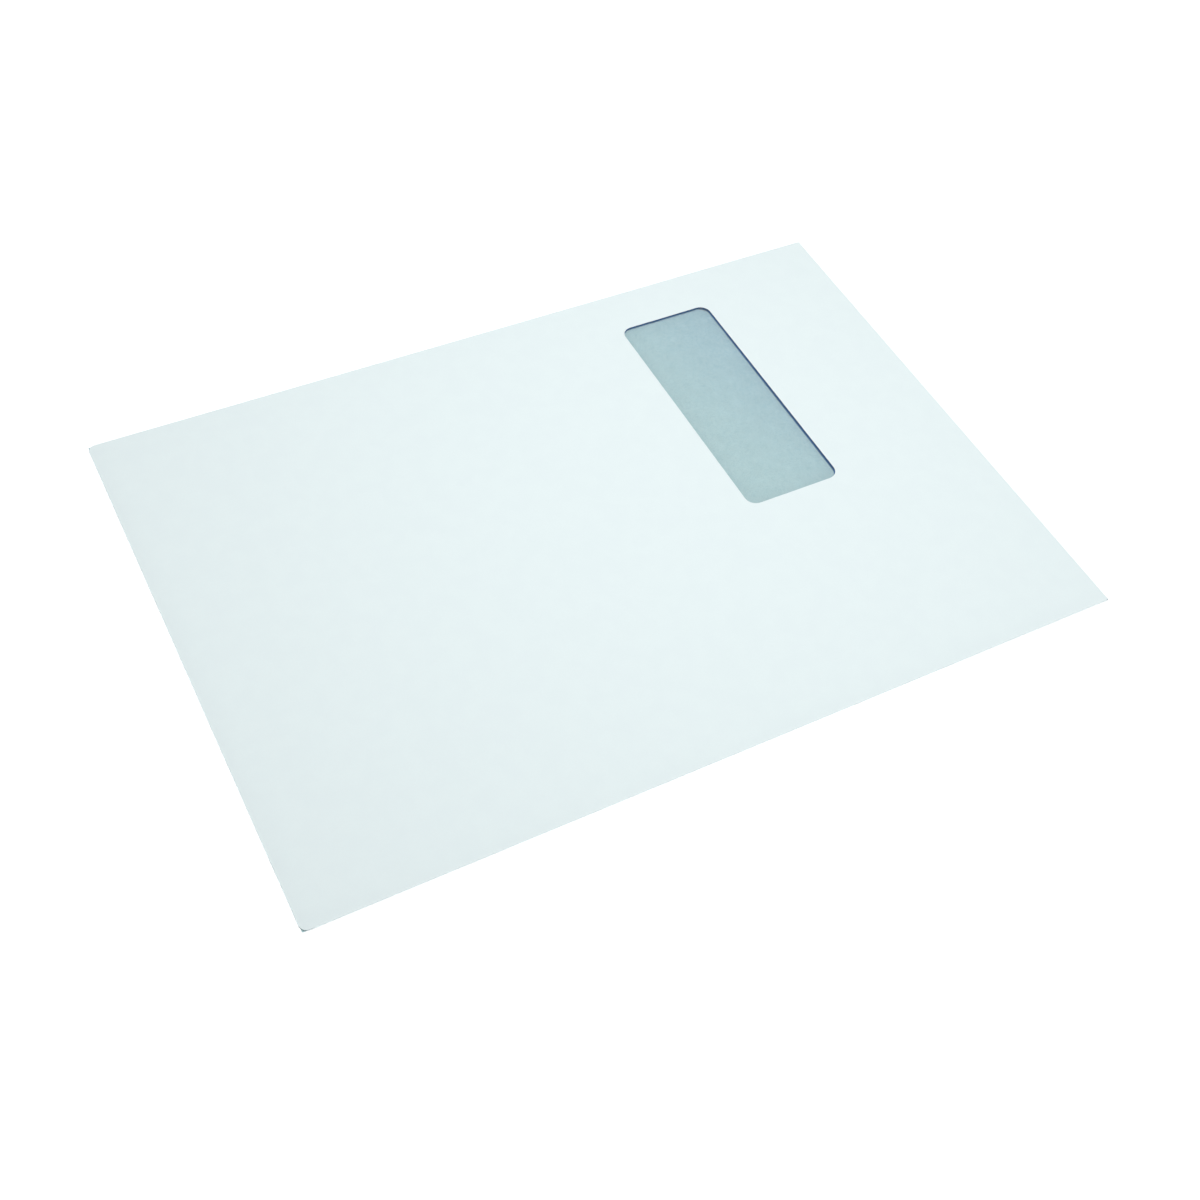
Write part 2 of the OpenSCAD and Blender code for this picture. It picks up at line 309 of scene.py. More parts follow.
def pick(piece, kind, test, open_only=False):
    """Selects the vertices, edges or faces in edit mode whose points all pass the test."""
    bpy.ops.mesh.select_mode(type=kind)
    bpy.ops.mesh.select_all(action="DESELECT")
    mesh = bmesh.from_edit_mesh(piece.data)
    found = 0
    for part in {"VERT": mesh.verts, "EDGE": mesh.edges, "FACE": mesh.faces}[kind]:
        points = [part.co] if kind == "VERT" else [v.co for v in part.verts]
        if open_only and not (part.is_boundary or part.is_wire):
            continue
        if all(test(p) for p in points):
            part.select_set(True)
            found += 1
    mesh.select_flush_mode()
    bmesh.update_edit_mesh(piece.data)
    if not found:
        raise RuntimeError(f"{piece.name}: nothing was found to shape")


def cut_lines(axis, places):
    """Cuts the whole mesh along straight lines across one axis."""
    for place in places:
        on, along = [0.0, 0.0, 0.0], [0.0, 0.0, 0.0]
        on[axis], along[axis] = place, 1.0
        bpy.ops.mesh.select_all(action="SELECT")
        bpy.ops.mesh.bisect(plane_co=on, plane_no=along, threshold=NEAR / 4)


def lines(lo, hi, gap, keys=()):
    """Evenly spaced places between lo and hi, with the keys in place of those close to them."""
    n = max(round((hi - lo) / gap), 1)
    even = [lo + (hi - lo) * i / n for i in range(1, n)]
    keys = [k for k in keys if lo + NEAR < k < hi - NEAR]
    return sorted(keys + [v for v in even if all(abs(v - k) > CLOSE_SHARE * gap for k in keys)])


def four_corners(centre, wide, high):
    """The corners of a rectangle, as seen from above."""
    return [centre + Vector((sx * wide / 2, sy * high / 2)) for sx in (-1, 1) for sy in (-1, 1)]


def round_corners(piece, corners, radius, steps):
    """Rounds corners of the outline, each in a number of steps."""
    pick(piece, "VERT", lambda p: any((p.xy - c).length < NEAR for c in corners))
    bpy.ops.mesh.bevel(affect="VERTICES", offset=radius, segments=steps, profile=0.5, clamp_overlap=False)
    bpy.ops.mesh.select_all(action="SELECT")
    bpy.ops.mesh.remove_doubles(threshold=NEAR / 2)


def pull(move, share=1.0):
    """Extrudes the selected edges by move, and narrows the new ones to a share of their width."""
    bpy.ops.mesh.extrude_region_move(TRANSFORM_OT_translate={"value": move})
    if share != 1.0:
        bpy.ops.transform.resize(value=(share, 1, 1), center_override=(0, 0, 0))


def fold(centre, axis, turn, steps):
    """Turns the selected edges half round a crease."""
    bpy.ops.mesh.spin(steps=steps, angle=turn, use_normal_flip=False, center=centre, axis=axis)


def raise_by(piece, name, height, share):
    """Raises each point of a piece by its share of a height."""
    select_only(piece)
    group = piece.vertex_groups.new(name=name)
    for v in piece.data.vertices:
        group.add([v.index], share(v.co), "REPLACE")
    lifter = piece.modifiers.new(name, "DISPLACE")
    lifter.direction, lifter.mid_level, lifter.strength = "Z", 0.0, height
    lifter.vertex_group = name
    bpy.ops.object.modifier_apply(modifier=lifter.name)
    piece.vertex_groups.remove(piece.vertex_groups[name])


def face_up(piece, spot):
    """Makes the faces of an open sheet agree, with the one nearest to spot pointing up."""
    bpy.ops.mesh.select_mode(type="FACE")
    bpy.ops.mesh.select_all(action="SELECT")
    bpy.ops.mesh.normals_make_consistent(inside=False)
    mesh = bmesh.from_edit_mesh(piece.data)
    nearest = min(mesh.faces, key=lambda f: (f.calc_center_median() - spot).length)
    if nearest.normal.z < 0:
        bpy.ops.mesh.flip_normals()


def thicken(piece, thickness, inner=0, rim=0):
    """Gives a sheet its thickness under its upper face."""
    select_only(piece)
    wall = piece.modifiers.new("thickness", "SOLIDIFY")
    wall.thickness, wall.offset = thickness, -1.0
    wall.use_even_offset = wall.use_quality_normals = True
    wall.material_offset, wall.material_offset_rim = inner, rim
    bpy.ops.object.modifier_apply(modifier=wall.name)
    bpy.ops.object.shade_smooth_by_angle(angle=SMOOTH_ANGLE)


def finish_piece(piece, node):
    """Puts a finished piece in a CAD node's place."""
    select_only(piece)
    bpy.ops.object.select_all(action="DESELECT")
    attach(piece, "root")
    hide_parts(node)


# ---------------------------------------------------------------- materials


def new_group(name, inputs, outputs):
    """Starts a shader node group with named sockets, and returns it with its two ends."""
    group = bpy.data.node_groups.new(name, "ShaderNodeTree")
    for label, kind, default in inputs:
        socket = group.interface.new_socket(name=label, in_out="INPUT", socket_type=kind)
        if default is not None:
            socket.default_value = default
    for label, kind in outputs:
        group.interface.new_socket(name=label, in_out="OUTPUT", socket_type=kind)
    return group, group.nodes.new("NodeGroupInput"), group.nodes.new("NodeGroupOutput")


def new_noise(tree, vector, scale, detail, roughness=0.5, distortion=0.0):
    """Adds a noise texture to a tree. Its scale is a number or a socket."""
    noise = tree.nodes.new("ShaderNodeTexNoise")
    noise.inputs["Detail"].default_value = detail
    noise.inputs["Roughness"].default_value = roughness
    noise.inputs["Distortion"].default_value = distortion
    tree.links.new(vector, noise.inputs["Vector"])
    if isinstance(scale, (int, float)):
        noise.inputs["Scale"].default_value = scale
    else:
        tree.links.new(scale, noise.inputs["Scale"])
    return noise.outputs["Fac"]


def new_range(tree, value, from_lo, from_hi, to_lo=0.0, to_hi=1.0):
    """Maps a value smoothly from one range to another."""
    node = tree.nodes.new("ShaderNodeMapRange")
    node.interpolation_type = "SMOOTHSTEP"
    node.inputs["From Min"].default_value = from_lo
    node.inputs["From Max"].default_value = from_hi
    node.inputs["To Min"].default_value = to_lo
    node.inputs["To Max"].default_value = to_hi
    tree.links.new(value, node.inputs["Value"])
    return node.outputs["Result"]


def new_maths(tree, operation, a, b):
    """Adds a Math node between two values, each a number or a socket."""
    node = tree.nodes.new("ShaderNodeMath")
    node.operation = operation
    for socket, value in zip(node.inputs, (a, b)):
        if isinstance(value, (int, float)):
            socket.default_value = value
        else:
            tree.links.new(value, socket)
    return node.outputs[0]


def darker(base, share):
    """A colour at a share of its strength."""
    return tuple(share * v for v in base)


def new_blend(tree, share, a, b):
    """Mixes two colours, each a colour or a socket, by a share from a socket."""
    node = tree.nodes.new("ShaderNodeMix")
    node.data_type = "RGBA"
    tree.links.new(share, node.inputs[0])
    for socket, value in ((node.inputs[6], a), (node.inputs[7], b)):
        if isinstance(value, bpy.types.NodeSocket):
            tree.links.new(value, socket)
        else:
            socket.default_value = (*value, 1.0)
    return node.outputs[2]


def paper_pulp():
    """The group for paper: soft clouds, fine fibres and a slight height."""
    if "Paper Pulp" in bpy.data.node_groups:
        return bpy.data.node_groups["Paper Pulp"]
    group, start, end = new_group(
        "Paper Pulp",
        [
            ("Vector", "NodeSocketVector", None),
            ("Cloud Scale", "NodeSocketFloat", 130.0),
            ("Fibre Scale", "NodeSocketFloat", 1300.0),
        ],
        [("Clouds", "NodeSocketFloat"), ("Fibres", "NodeSocketFloat"), ("Height", "NodeSocketFloat")],
    )
    where = start.outputs["Vector"]
    clouds = new_noise(group, where, start.outputs["Cloud Scale"], 3.0)
    clouds = new_range(group, clouds, 0.34, 0.66)
    fibres = new_noise(group, where, start.outputs["Fibre Scale"], 2.0, roughness=0.6, distortion=0.6)
    fibres = new_range(group, fibres, 0.3, 0.7)
    low, high = new_maths(group, "MULTIPLY", clouds, 0.3), new_maths(group, "MULTIPLY", fibres, 0.7)
    height = new_maths(group, "ADD", low, high)
    group.links.new(clouds, end.inputs["Clouds"])
    group.links.new(fibres, end.inputs["Fibres"])
    group.links.new(height, end.inputs["Height"])
    return group


def inside_print():
    """The group for the print inside: a plain scribble of fine curly lines."""
    if "Inside Print" in bpy.data.node_groups:
        return bpy.data.node_groups["Inside Print"]
    group, start, end = new_group(
        "Inside Print",
        [("Vector", "NodeSocketVector", None), ("Line Scale", "NodeSocketFloat", 800.0)],
        [("Ink", "NodeSocketFloat")],
    )
    curls = new_noise(
        group, start.outputs["Vector"], start.outputs["Line Scale"], 1.0, roughness=0.4, distortion=1.2
    )
    apart = new_maths(group, "ABSOLUTE", new_maths(group, "SUBTRACT", curls, 0.5), 0.0)
    group.links.new(new_range(group, apart, 0.02, 0.09, 1.0, 0.0), end.inputs["Ink"])
    return group


def new_material(name, roughness, seen):
    """Starts a material and returns it with its tree, its shader and its object coordinates."""
    material = bpy.data.materials.new(name)
    material.use_nodes = True
    material.diffuse_color = (*seen, 1.0)
    tree = material.node_tree
    shader = next(n for n in tree.nodes if n.type == "BSDF_PRINCIPLED")
    shader.inputs["Roughness"].default_value = roughness
    where = tree.nodes.new("ShaderNodeTexCoord").outputs["Object"]
    return material, tree, shader, where


def use_group(tree, group, where, **values):
    """Puts a group in a material with its own values."""
    node = tree.nodes.new("ShaderNodeGroup")
    node.node_tree = group
    tree.links.new(where, node.inputs["Vector"])
    for name, value in values.items():
        node.inputs[name.replace("_", " ")].default_value = value
    return node.outputs


def new_bump(tree, shader, height, distance, strength):
    """Gives a shader a fine relief."""
    bump = tree.nodes.new("ShaderNodeBump")
    bump.inputs["Distance"].default_value = distance
    bump.inputs["Strength"].default_value = strength
    tree.links.new(height, bump.inputs["Height"])
    tree.links.new(bump.outputs["Normal"], shader.inputs["Normal"])


def white_paper(c):
    """Matt uncoated paper, cool white, with faint clouds and fibres."""
    material, tree, shader, where = new_material("white_paper", 0.8, c.paper)
    pulp = use_group(tree, paper_pulp(), where)
    shade = new_blend(tree, pulp["Clouds"], c.paper, c.paper_shade)
    fleck = new_maths(tree, "MULTIPLY", pulp["Fibres"], 0.25)
    tree.links.new(new_blend(tree, fleck, shade, darker(c.paper, 0.97)), shader.inputs["Base Color"])
    tree.links.new(new_range(tree, pulp["Fibres"], 0.0, 1.0, 0.74, 0.86), shader.inputs["Roughness"])
    shader.inputs["Specular IOR Level"].default_value = 0.3
    new_bump(tree, shader, pulp["Height"], RELIEF, 0.5)
    return material


def window_place(s, at):
    """The group for the window's place: how far outside its outline a point lies, in metres."""
    if "Window Place" in bpy.data.node_groups:
        return bpy.data.node_groups["Window Place"]
    group, start, end = new_group(
        "Window Place", [("Vector", "NodeSocketVector", None)], [("Outside", "NodeSocketFloat")]
    )
    r = s.window_corner
    steps = (
        ("SUBTRACT", (at.window.x, at.window.y, 0.0)),
        ("MULTIPLY", (1.0, 1.0, 0.0)),
        ("ABSOLUTE", None),
        ("SUBTRACT", (s.window_length / 2 - r, s.window_height / 2 - r, 0.0)),
        ("MAXIMUM", (0.0, 0.0, 0.0)),
    )
    vector = start.outputs["Vector"]
    for operation, value in steps:
        node = group.nodes.new("ShaderNodeVectorMath")
        node.operation = operation
        group.links.new(vector, node.inputs[0])
        if value:
            node.inputs[1].default_value = value
        vector = node.outputs["Vector"]
    far = group.nodes.new("ShaderNodeVectorMath")
    far.operation = "LENGTH"
    group.links.new(vector, far.inputs[0])
    group.links.new(new_maths(group, "SUBTRACT", far.outputs["Value"], r), end.inputs["Outside"])
    return group


def printed_paper_painted_shade(c, s, at):
    """The inside of the paper with its print, and painted shade on it: a deep blue ring round the window's
    place and a darkening towards the top left, where the front panel shades the inside.
    """
    material, tree, shader, where = new_material("printed_paper_painted_shade", 0.8, c.tint_ink)
    pulp = use_group(tree, paper_pulp(), where)
    ink = use_group(tree, inside_print(), where)["Ink"]
    colours = new_blend(tree, ink, c.tint_ground, c.tint_ink)
    clouds = new_maths(tree, "MULTIPLY", pulp["Clouds"], 0.18)
    colours = new_blend(tree, clouds, colours, darker(c.tint_ink, 0.9))

    # Painted shade: the print is darkened towards the top left of the window, where the raised front panel
    # shades the inside.
    top_left = Vector((-0.3, 1.0, 0.0))  # the way in which the painted shade on the print grows darker
    toward = tree.nodes.new("ShaderNodeVectorMath")
    toward.operation = "DOT_PRODUCT"
    toward.inputs[1].default_value = top_left
    tree.links.new(where, toward.inputs[0])
    middle = top_left.xy.dot(at.window)
    top_left_shade = new_range(tree, toward.outputs["Value"], middle + TOP_LEFT_SHADE_FROM, middle + TOP_LEFT_SHADE_TO, 0.0, 0.17)

    # Painted shade: a deep blue ring just outside the window's place, standing in for the shade under the front
    # panel's edges that shows through the window.
    moved = tree.nodes.new("ShaderNodeVectorMath")
    moved.inputs[1].default_value = (SHADE_OFF_CENTRE, 0.0, 0.0)
    tree.links.new(where, moved.inputs[0])
    outside = use_group(tree, window_place(s, at), moved.outputs["Vector"])["Outside"]
    inner_edge = new_range(tree, outside, *SHADE_RING_INNER)
    outer_edge = new_range(tree, outside, *SHADE_RING_OUTER, 1.0, 0.0)
    shade_ring = new_maths(tree, "MULTIPLY", inner_edge, outer_edge)
    colours = new_blend(tree, new_maths(tree, "MAXIMUM", top_left_shade, shade_ring), colours, c.deep_ink_and_painted_shade)
    tree.links.new(colours, shader.inputs["Base Color"])
    tree.links.new(new_range(tree, ink, 0.0, 1.0, 0.84, 0.7), shader.inputs["Roughness"])
    shader.inputs["Specular IOR Level"].default_value = 0.3
    new_bump(tree, shader, pulp["Height"], RELIEF, 0.5)
    return material


def cut_paper(c, s, at):
    """The cut edges of the paper, with their torn fibres; round the window they turn deep blue, partly the
    print's ink and partly painted shade for the dark line under the window's far edges.
    """
    material, tree, shader, where = new_material("cut_paper", 0.9, c.cut)
    pulp = use_group(tree, paper_pulp(), where, Fibre_Scale=5200.0)
    torn = new_blend(tree, pulp["Fibres"], c.cut, darker(c.cut, 0.88))
    outside = use_group(tree, window_place(s, at), where)["Outside"]
    # Painted shade, partly ink: the cut edge round the window goes deep blue.
    ink_and_shade = new_range(tree, outside, *INK_AND_SHADE_EDGE, 0.9, 0.0)
    torn = new_blend(tree, ink_and_shade, torn, c.deep_ink_and_painted_shade)
    tree.links.new(torn, shader.inputs["Base Color"])
    shader.inputs["Specular IOR Level"].default_value = 0.2
    new_bump(tree, shader, pulp["Height"], RELIEF, 0.6)
    return material


def clear_film(c):
    """Clear glossy film that lets the inside show, with a breath of haze."""
    material, tree, shader, where = new_material("clear_film", 0.08, c.film)
    waves = new_noise(tree, where, 55.0, 2.0, distortion=0.3)
    haze = new_range(tree, new_noise(tree, where, 240.0, 3.0), 0.3, 0.7, 0.004, 0.014)
    gloss = tree.nodes.new("ShaderNodeFresnel").outputs[0]
    front = new_maths(tree, "SUBTRACT", 1.0, tree.nodes.new("ShaderNodeNewGeometry").outputs["Backfacing"])
    gloss = new_maths(tree, "MULTIPLY", gloss, front)
    tree.links.new(new_maths(tree, "ADD", haze, gloss), shader.inputs["Alpha"])
    shader.inputs["Base Color"].default_value = (*c.film, 1.0)
    tree.links.new(new_range(tree, waves, 0.3, 0.7, 0.06, 0.1), shader.inputs["Roughness"])
    new_bump(tree, shader, waves, 2 * RELIEF, 0.4)
    return material


def dry_glue(name, base, roughness, streaks):
    """Dry glue or gum, spread in streaks along the paper and slightly uneven."""
    material, tree, shader, where = new_material(name, roughness, base)
    turn = tree.nodes.new("ShaderNodeMapping")
    turn.inputs["Scale"].default_value = streaks
    tree.links.new(where, turn.inputs["Vector"])
    spread = new_noise(tree, turn.outputs["Vector"], 300.0, 4.0, roughness=0.6, distortion=0.4)
    shade = new_blend(tree, new_range(tree, spread, 0.3, 0.7), base, darker(base, 0.88))
    tree.links.new(shade, shader.inputs["Base Color"])
    dullness = new_range(tree, spread, 0.3, 0.7, roughness - 0.08, roughness + 0.1)
    tree.links.new(dullness, shader.inputs["Roughness"])
    new_bump(tree, shader, spread, RELIEF, 0.6)
    return material


# ---------------------------------------------------------------- the pieces


def front_panel(piece, s, at):
    """Cuts the flat front panel into a fine grid, with its cut corners and its window."""
    w = at.window
    hole_x, hole_y = s.window_length / 2 + HOLE_MARGIN, s.window_height / 2 + HOLE_MARGIN
    round_corners(piece, [Vector((sx * at.crease_x, at.foot_y)) for sx in (-1, 1)], s.corner, steps=6)
    rolls = [share * s.crown_roll for share in ROLL_LINES]
    keys = [sx * (at.crease_x - roll) for sx in (-1, 1) for roll in rolls]
    keys = [-at.foot_half, at.foot_half, w.x - hole_x, w.x + hole_x, *keys]
    cut_lines(0, lines(-at.crease_x, at.crease_x, PANEL_GAP, keys))
    keys = [at.foot_y + roll for roll in rolls if roll > s.corner + s.side_foot]
    keys += [at.foot_y + s.corner / 2, at.foot_y + s.corner, at.side_lo, at.side_hi, w.y - hole_y, w.y + hole_y]
    cut_lines(1, lines(at.foot_y, at.head_y, PANEL_GAP, keys))

    def in_hole(p):
        return abs(p.x - w.x) < hole_x + NEAR and abs(p.y - w.y) < hole_y + NEAR

    pick(piece, "FACE", in_hole)
    bpy.ops.mesh.delete(type="FACE")
    bpy.ops.mesh.select_all(action="DESELECT")
    along, across = WINDOW_SQUARES
    bpy.ops.mesh.primitive_grid_add(
        x_subdivisions=along, y_subdivisions=across, size=1.0, calc_uvs=False, location=(0, 0, 0)
    )
    bpy.ops.transform.resize(value=(s.window_length, s.window_height, 1), center_override=(0, 0, 0))
    bpy.ops.transform.translate(value=(w.x, w.y, at.front_level + s.paper))
    round_corners(piece, four_corners(w, s.window_length, s.window_height), s.window_corner, steps=8)

    def in_window(p):
        return abs(p.x - w.x) < s.window_length / 2 + NEAR and abs(p.y - w.y) < s.window_height / 2 + NEAR

    pick(piece, "FACE", in_window)
    bpy.ops.mesh.dissolve_faces()
    bpy.ops.mesh.delete(type="ONLY_FACE")
    pick(piece, "EDGE", in_hole, open_only=True)
    bpy.ops.mesh.bridge_edge_loops()


def side_flap(piece, s, at, side):
    """Folds a side flap under the front panel and cuts its two ends back."""
    wide, strips = s.side_flap - at.side_r, 3

    def on_crease(p):
        return abs(p.x - side * at.crease_x) < NEAR and at.side_lo - NEAR < p.y < at.side_hi + NEAR

    def in_flap(p):
        return p.z < at.side_level + NEAR and 0 < side * p.x < at.crease_x + NEAR

    pick(piece, "EDGE", on_crease, open_only=True)
    fold((side * at.crease_x, 0, at.side_level + at.side_r), (0, 1, 0), -side * math.pi, CREASE_STEPS)
    pull((-side * s.side_tip, 0, 0))
    for _ in range(strips):
        pull((-side * (wide - s.side_tip) / strips, 0, 0))
    slant = Vector((wide - s.side_tip, s.side_cut)).normalized()
    for end_y, sy in ((at.side_lo, -1), (at.side_hi, 1)):
        pick(piece, "FACE", in_flap)
        corner = (side * (at.crease_x - s.side_tip), end_y, 0)
        outward = Vector((-side * slant.y, sy * slant.x, 0))
        bpy.ops.mesh.bisect(plane_co=corner, plane_no=outward, clear_outer=True)


def back_panel(piece, s, at):
    """Folds the back panel up from the bottom edge, with an ear past the crease on each side."""

    def on_foot(p):
        return abs(p.y - at.foot_y) < NEAR and abs(p.x) < at.foot_half + NEAR

    pick(piece, "EDGE", on_foot, open_only=True)
    fold((0, at.foot_y, at.foot_r), (1, 0, 0), -math.pi, CREASE_STEPS)
    rows = lines(at.foot_y, at.back_y, PANEL_GAP)
    for before, after in zip([at.foot_y, *rows], [*rows, at.back_y]):
        pull((0, after - before, 0))
    for side in (-1, 1):
        side_x = side * at.foot_half
        pick(
            piece,
            "EDGE",
            lambda p: abs(p.x - side_x) < NEAR and p.z < NEAR and p.y > at.foot_y - NEAR,
            open_only=True,
        )
        pull((side * (at.back_half - at.foot_half), 0, 0))
    corners = [Vector((side * at.back_half, at.foot_y)) for side in (-1, 1)]
    round_corners(piece, corners, s.back_corner, steps=4)


def closure_flap(piece, s, at):
    """Folds the closure flap under, with its sloping ends and round corners."""
    pick(piece, "EDGE", lambda p: abs(p.y - at.head_y) < NEAR, open_only=True)
    fold((0, at.head_y, at.head_r), (1, 0, 0), math.pi, TOP_CREASE_STEPS)
    start = Vector((at.crease_x, at.head_y))
    free = Vector((at.crease_x - s.closure_slope, at.closure_y))
    down = (free - start).normalized()
    half = math.acos(-down.x) / 2
    reach = s.closure_corner / math.tan(math.pi / 2 - half)
    first = free - down * reach
    inward = Vector((down.y, -down.x))
    middle = first + inward * s.closure_corner
    slope_steps, corner_steps = 6, 8
    outline = [start.lerp(first, i / slope_steps) for i in range(slope_steps + 1)]
    for i in range(1, corner_steps + 1):
        swing = Matrix.Rotation(-2 * half * i / corner_steps, 2)
        outline.append(middle - swing @ inward * s.closure_corner)
    for before, after in zip(outline, outline[1:]):
        pull((0, after.y - before.y, 0), after.x / before.x)


class ENVELOPE_OT_fold_paper(bpy.types.Operator):
    """Folds the paper: front panel with its window, side flaps, back panel and closure flap"""

    bl_idname = "envelope.fold_paper"
    bl_label = "Fold Paper"

    def execute(self, context):
        s, c = context.scene.envelope_sizes, context.scene.envelope_colours
        at = lie(s)
        middle_y = (at.foot_y + at.head_y) / 2
        wide, high = 2 * at.crease_x, at.head_y - at.foot_y
        piece = rectangle("folded_paper", (0, middle_y), wide, high, at.front_level + s.paper)
        front_panel(piece, s, at)
        raise_by(piece, "crown", s.crown, lambda p: crown_share(at, p.x, p.y))
        bpy.ops.object.mode_set(mode="EDIT")
        for side in (-1, 1):
            side_flap(piece, s, at, side)
        back_panel(piece, s, at)
        raise_by(piece, "step", at.lift, lambda p: step_share(at, p.y))
        bpy.ops.object.mode_set(mode="EDIT")
        closure_flap(piece, s, at)
        bpy.ops.mesh.select_all(action="SELECT")
        bpy.ops.mesh.remove_doubles(threshold=NEAR / 4)
        face_up(piece, Vector((0, 0, 1)))
        for material in (white_paper(c), printed_paper_painted_shade(c, s, at), cut_paper(c, s, at)):
            piece.data.materials.append(material)
        thicken(piece, s.paper, 1, 2)
        finish_piece(piece, "folded_blank")
        return {"FINISHED"}


def under_front(piece, s, at):
    """Cuts a flat sheet under the front panel finely and lets it follow the panel's crown."""
    half_x, half_y = s.window_length / 2 + s.film_margin, s.window_height / 2 + s.film_margin
    cut_lines(0, lines(at.window.x - half_x, at.window.x + half_x, FILM_GAP))
    cut_lines(1, lines(at.window.y - half_y, at.window.y + half_y, FILM_GAP))
    raise_by(piece, "crown", s.crown, lambda p: crown_share(at, p.x, p.y))
    raise_by(piece, "step", at.lift, lambda p: step_share(at, p.y))
    bpy.ops.object.mode_set(mode="EDIT")
    face_up(piece, Vector((0, 0, 1)))


class ENVELOPE_OT_lay_film(bpy.types.Operator):
    """Lays the clear film behind the window"""

    bl_idname = "envelope.lay_film"
    bl_label = "Lay Film"

    def execute(self, context):
        s, c = context.scene.envelope_sizes, context.scene.envelope_colours
        at = lie(s)
        wide, high = s.window_length + 2 * s.film_margin, s.window_height + 2 * s.film_margin
        piece = rectangle("clear_window_film", at.window, wide, high, at.front_level - s.film_glue)
        round_corners(piece, four_corners(at.window, wide, high), s.film_corner, steps=6)
        under_front(piece, s, at)
        piece.data.materials.append(clear_film(c))
        thicken(piece, s.film)
        finish_piece(piece, "window_film")
        return {"FINISHED"}


class ENVELOPE_OT_lay_window_glue(bpy.types.Operator):
    """Lays the line of glue round the window, between the paper and the film"""

    bl_idname = "envelope.lay_window_glue"
    bl_label = "Lay Window Glue"

    def execute(self, context):
        s, c = context.scene.envelope_sizes, context.scene.envelope_colours
        at = lie(s)
        grow = s.film_glue_gap + s.film_glue_width
        wide, high = s.window_length + 2 * grow, s.window_height + 2 * grow
        piece = rectangle("window_glue_line", at.window, wide, high, at.front_level)
        round_corners(piece, four_corners(at.window, wide, high), s.window_corner + grow, steps=8)
        bpy.ops.mesh.select_mode(type="FACE")
        bpy.ops.mesh.select_all(action="SELECT")
        bpy.ops.mesh.inset(thickness=s.film_glue_width)
        bpy.ops.mesh.delete(type="FACE")
        under_front(piece, s, at)
        piece.data.materials.append(dry_glue("dry_window_glue", c.glue, 0.5, (1.0, 1.0, 1.0)))
        thicken(piece, s.film_glue)
        finish_piece(piece, "window_glue")
        return {"FINISHED"}


class ENVELOPE_OT_finish_glue(bpy.types.Operator):
    """Gives the seam glue and the flap's gum their finish"""

    bl_idname = "envelope.finish_glue"
    bl_label = "Finish Glue"

    def execute(self, context):
        c = context.scene.envelope_colours
        seam = dry_glue("dry_seam_glue", c.glue, 0.5, (1.0, 0.12, 1.0))
        gum = dry_glue("dry_flap_gum", c.gum, 0.3, (0.1, 1.0, 1.0))
        for node, material in (("left_seam_glue", seam), ("right_seam_glue", seam), ("flap_gum", gum)):
            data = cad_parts[node].data
            data.materials.clear()
            data.materials.append(material)
        return {"FINISHED"}


# ---------------------------------------------------------------- the stage


def lay_floor(c, studio):
    """Lays the plain pale floor."""
    bpy.ops.object.select_all(action="DESELECT")
    bpy.ops.mesh.primitive_plane_add(size=FLOOR_WIDTH, calc_uvs=False, location=(0, 0, -FLOOR_DROP))
    floor = bpy.context.object
    floor.name = floor.data.name = "floor"
    material, tree, shader, where = new_material("pale_floor", 0.9, c.floor)
    tint = new_blend(tree, new_noise(tree, where, 3.0, 2.0), c.floor, darker(c.floor, 0.99))
    tree.links.new(tint, shader.inputs["Base Color"])
    shader.inputs["Specular IOR Level"].default_value = 0.1
    away = tree.nodes.new("ShaderNodeVectorMath")
    away.operation = "LENGTH"
    tree.links.new(where, away.inputs[0])
    glow = new_range(tree, away.outputs["Value"], NEAR_FLOOR, FAR_FLOOR, studio.floor_glow, studio.far_glow)
    tree.links.new(glow, shader.inputs["Emission Color"])
    shader.inputs["Emission Strength"].default_value = 1.0
    floor.data.materials.append(material)


def light_room(scene, studio):
    """Lights the room: brightest near the horizon, and plain white where the camera sees it."""
    world = bpy.data.worlds.new("room")
    world.use_nodes = True
    tree = world.node_tree
    sky = next(n for n in tree.nodes if n.type == "BACKGROUND")
    sky.inputs["Color"].default_value = (1.0, 1.0, 1.0, 1.0)
    way = tree.nodes.new("ShaderNodeSeparateXYZ")
    tree.links.new(tree.nodes.new("ShaderNodeTexCoord").outputs["Generated"], way.inputs[0])
    high = new_maths(tree, "MAXIMUM", way.outputs["Z"], 0.0)
    low = new_maths(tree, "POWER", new_maths(tree, "SUBTRACT", 1.0, high), HORIZON_POWER)
    room = new_maths(tree, "MULTIPLY", low, studio.room)
    seen = tree.nodes.new("ShaderNodeLightPath").outputs["Is Camera Ray"]
    tree.links.new(new_maths(tree, "MAXIMUM", room, seen), sky.inputs["Strength"])
    scene.world = world


def hang_lamp(scene, studio):
    """Hangs the large soft light overhead, looking straight down."""
    data = bpy.data.lights.new("key_light", "AREA")
    data.size, data.energy = LAMP_WIDTH, studio.key_power
    lamp = bpy.data.objects.new("key_light", data)
    lamp.location = studio.key_place
    scene.collection.objects.link(lamp)


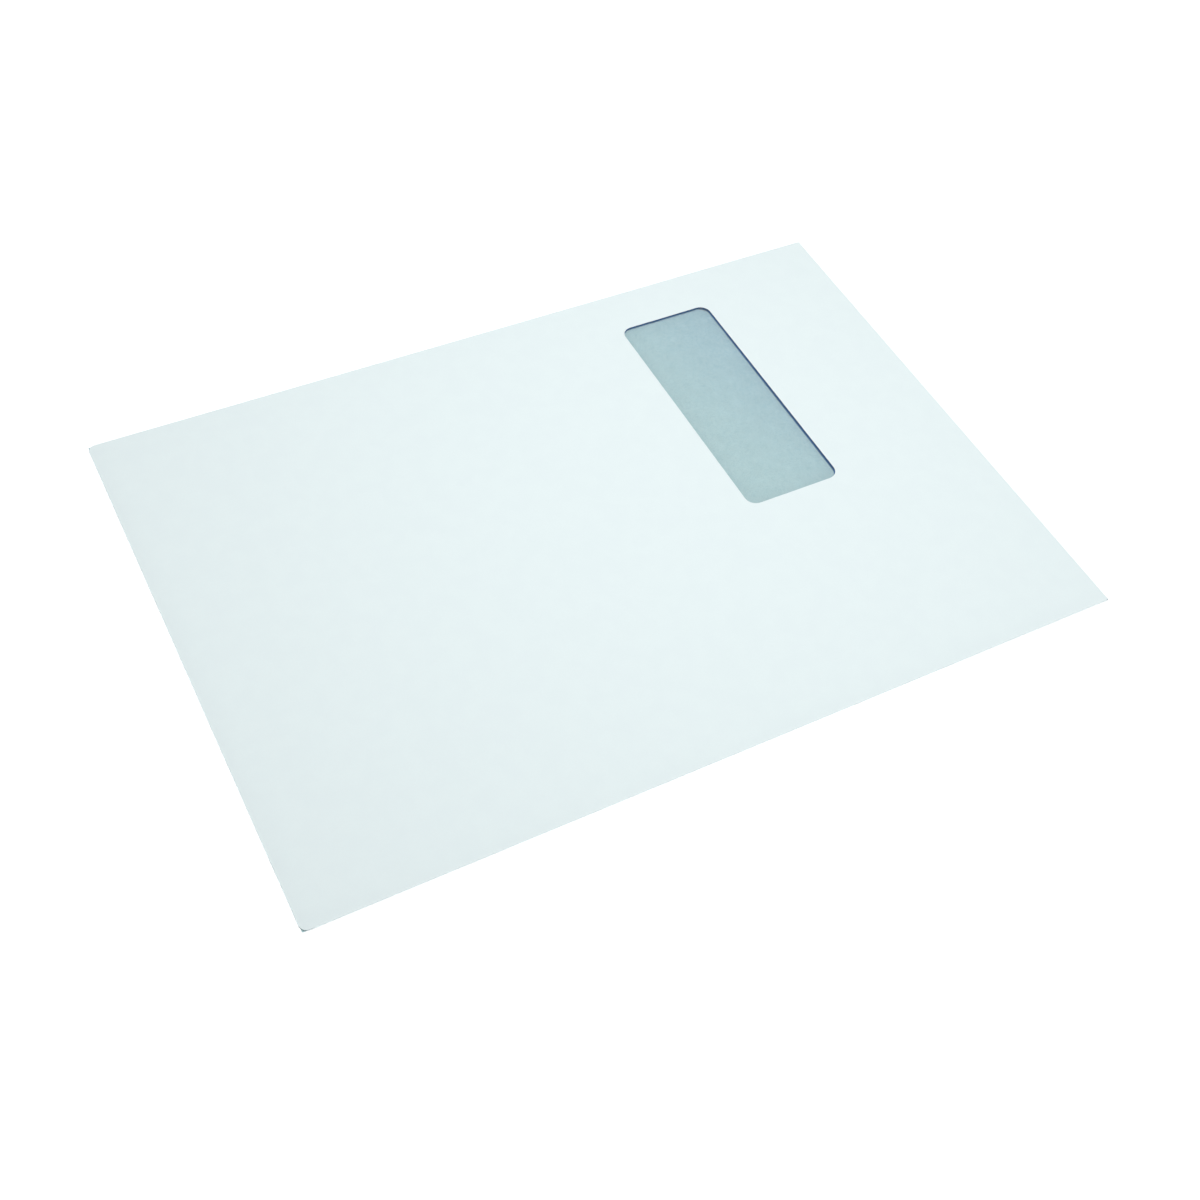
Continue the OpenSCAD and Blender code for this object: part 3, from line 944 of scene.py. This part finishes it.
def place_camera(scene, studio):
    """Places the camera as in the photograph."""
    eye = bpy.data.cameras.new("camera")
    eye.sensor_width, eye.lens, eye.shift_x = SENSOR_WIDTH, studio.lens, studio.shift
    eye.clip_start, eye.clip_end = CLIP_NEAR, CLIP_FAR
    camera = bpy.data.objects.new("camera", eye)
    scene.collection.objects.link(camera)
    turn = Matrix((CAMERA_RIGHT, CAMERA_UP, CAMERA_BACK)).transposed().to_quaternion()
    camera.matrix_world = Matrix.Translation(studio.camera_place) @ turn.to_matrix().to_4x4()
    scene.camera = camera


class ENVELOPE_OT_set_stage(bpy.types.Operator):
    """Sets the floor, the lights and the camera"""

    bl_idname = "envelope.set_stage"
    bl_label = "Set Stage"

    def execute(self, context):
        scene, studio = context.scene, context.scene.envelope_studio
        lay_floor(scene.envelope_colours, studio)
        light_room(scene, studio)
        hang_lamp(scene, studio)
        place_camera(scene, studio)
        scene.view_settings.view_transform = "Standard"
        return {"FINISHED"}


class ENVELOPE_PT_build(bpy.types.Panel):
    """The envelope's steps, sizes and colours"""

    bl_idname = "ENVELOPE_PT_build"
    bl_label = "Envelope"
    bl_space_type = "VIEW_3D"
    bl_region_type = "UI"
    bl_category = "Envelope"

    def draw(self, context):
        for step in STEPS:
            self.layout.operator(step.bl_idname)
        for heading, settings in (
            ("Sizes", context.scene.envelope_sizes),
            ("Colours", context.scene.envelope_colours),
            ("Studio", context.scene.envelope_studio),
        ):
            box = self.layout.box()
            box.label(text=heading)
            for name in settings.__annotations__:
                box.prop(settings, name)


SETTINGS = {
    "envelope_sizes": EnvelopeSizes,
    "envelope_colours": EnvelopeColours,
    "envelope_studio": EnvelopeStudio,
}
STEPS = (
    ENVELOPE_OT_fold_paper,
    ENVELOPE_OT_lay_film,
    ENVELOPE_OT_lay_window_glue,
    ENVELOPE_OT_finish_glue,
    ENVELOPE_OT_set_stage,
)


def register():
    for cls in (*SETTINGS.values(), *STEPS, ENVELOPE_PT_build):
        bpy.utils.register_class(cls)
    for name, cls in SETTINGS.items():
        setattr(bpy.types.Scene, name, bpy.props.PointerProperty(type=cls))


def unregister():
    for name in SETTINGS:
        delattr(bpy.types.Scene, name)
    for cls in (ENVELOPE_PT_build, *reversed(STEPS), *SETTINGS.values()):
        bpy.utils.unregister_class(cls)


def main():
    register()
    bpy.ops.envelope.fold_paper()
    bpy.ops.envelope.lay_film()
    bpy.ops.envelope.lay_window_glue()
    bpy.ops.envelope.finish_glue()
    bpy.ops.envelope.set_stage()


if __name__ == "__main__":
    main()
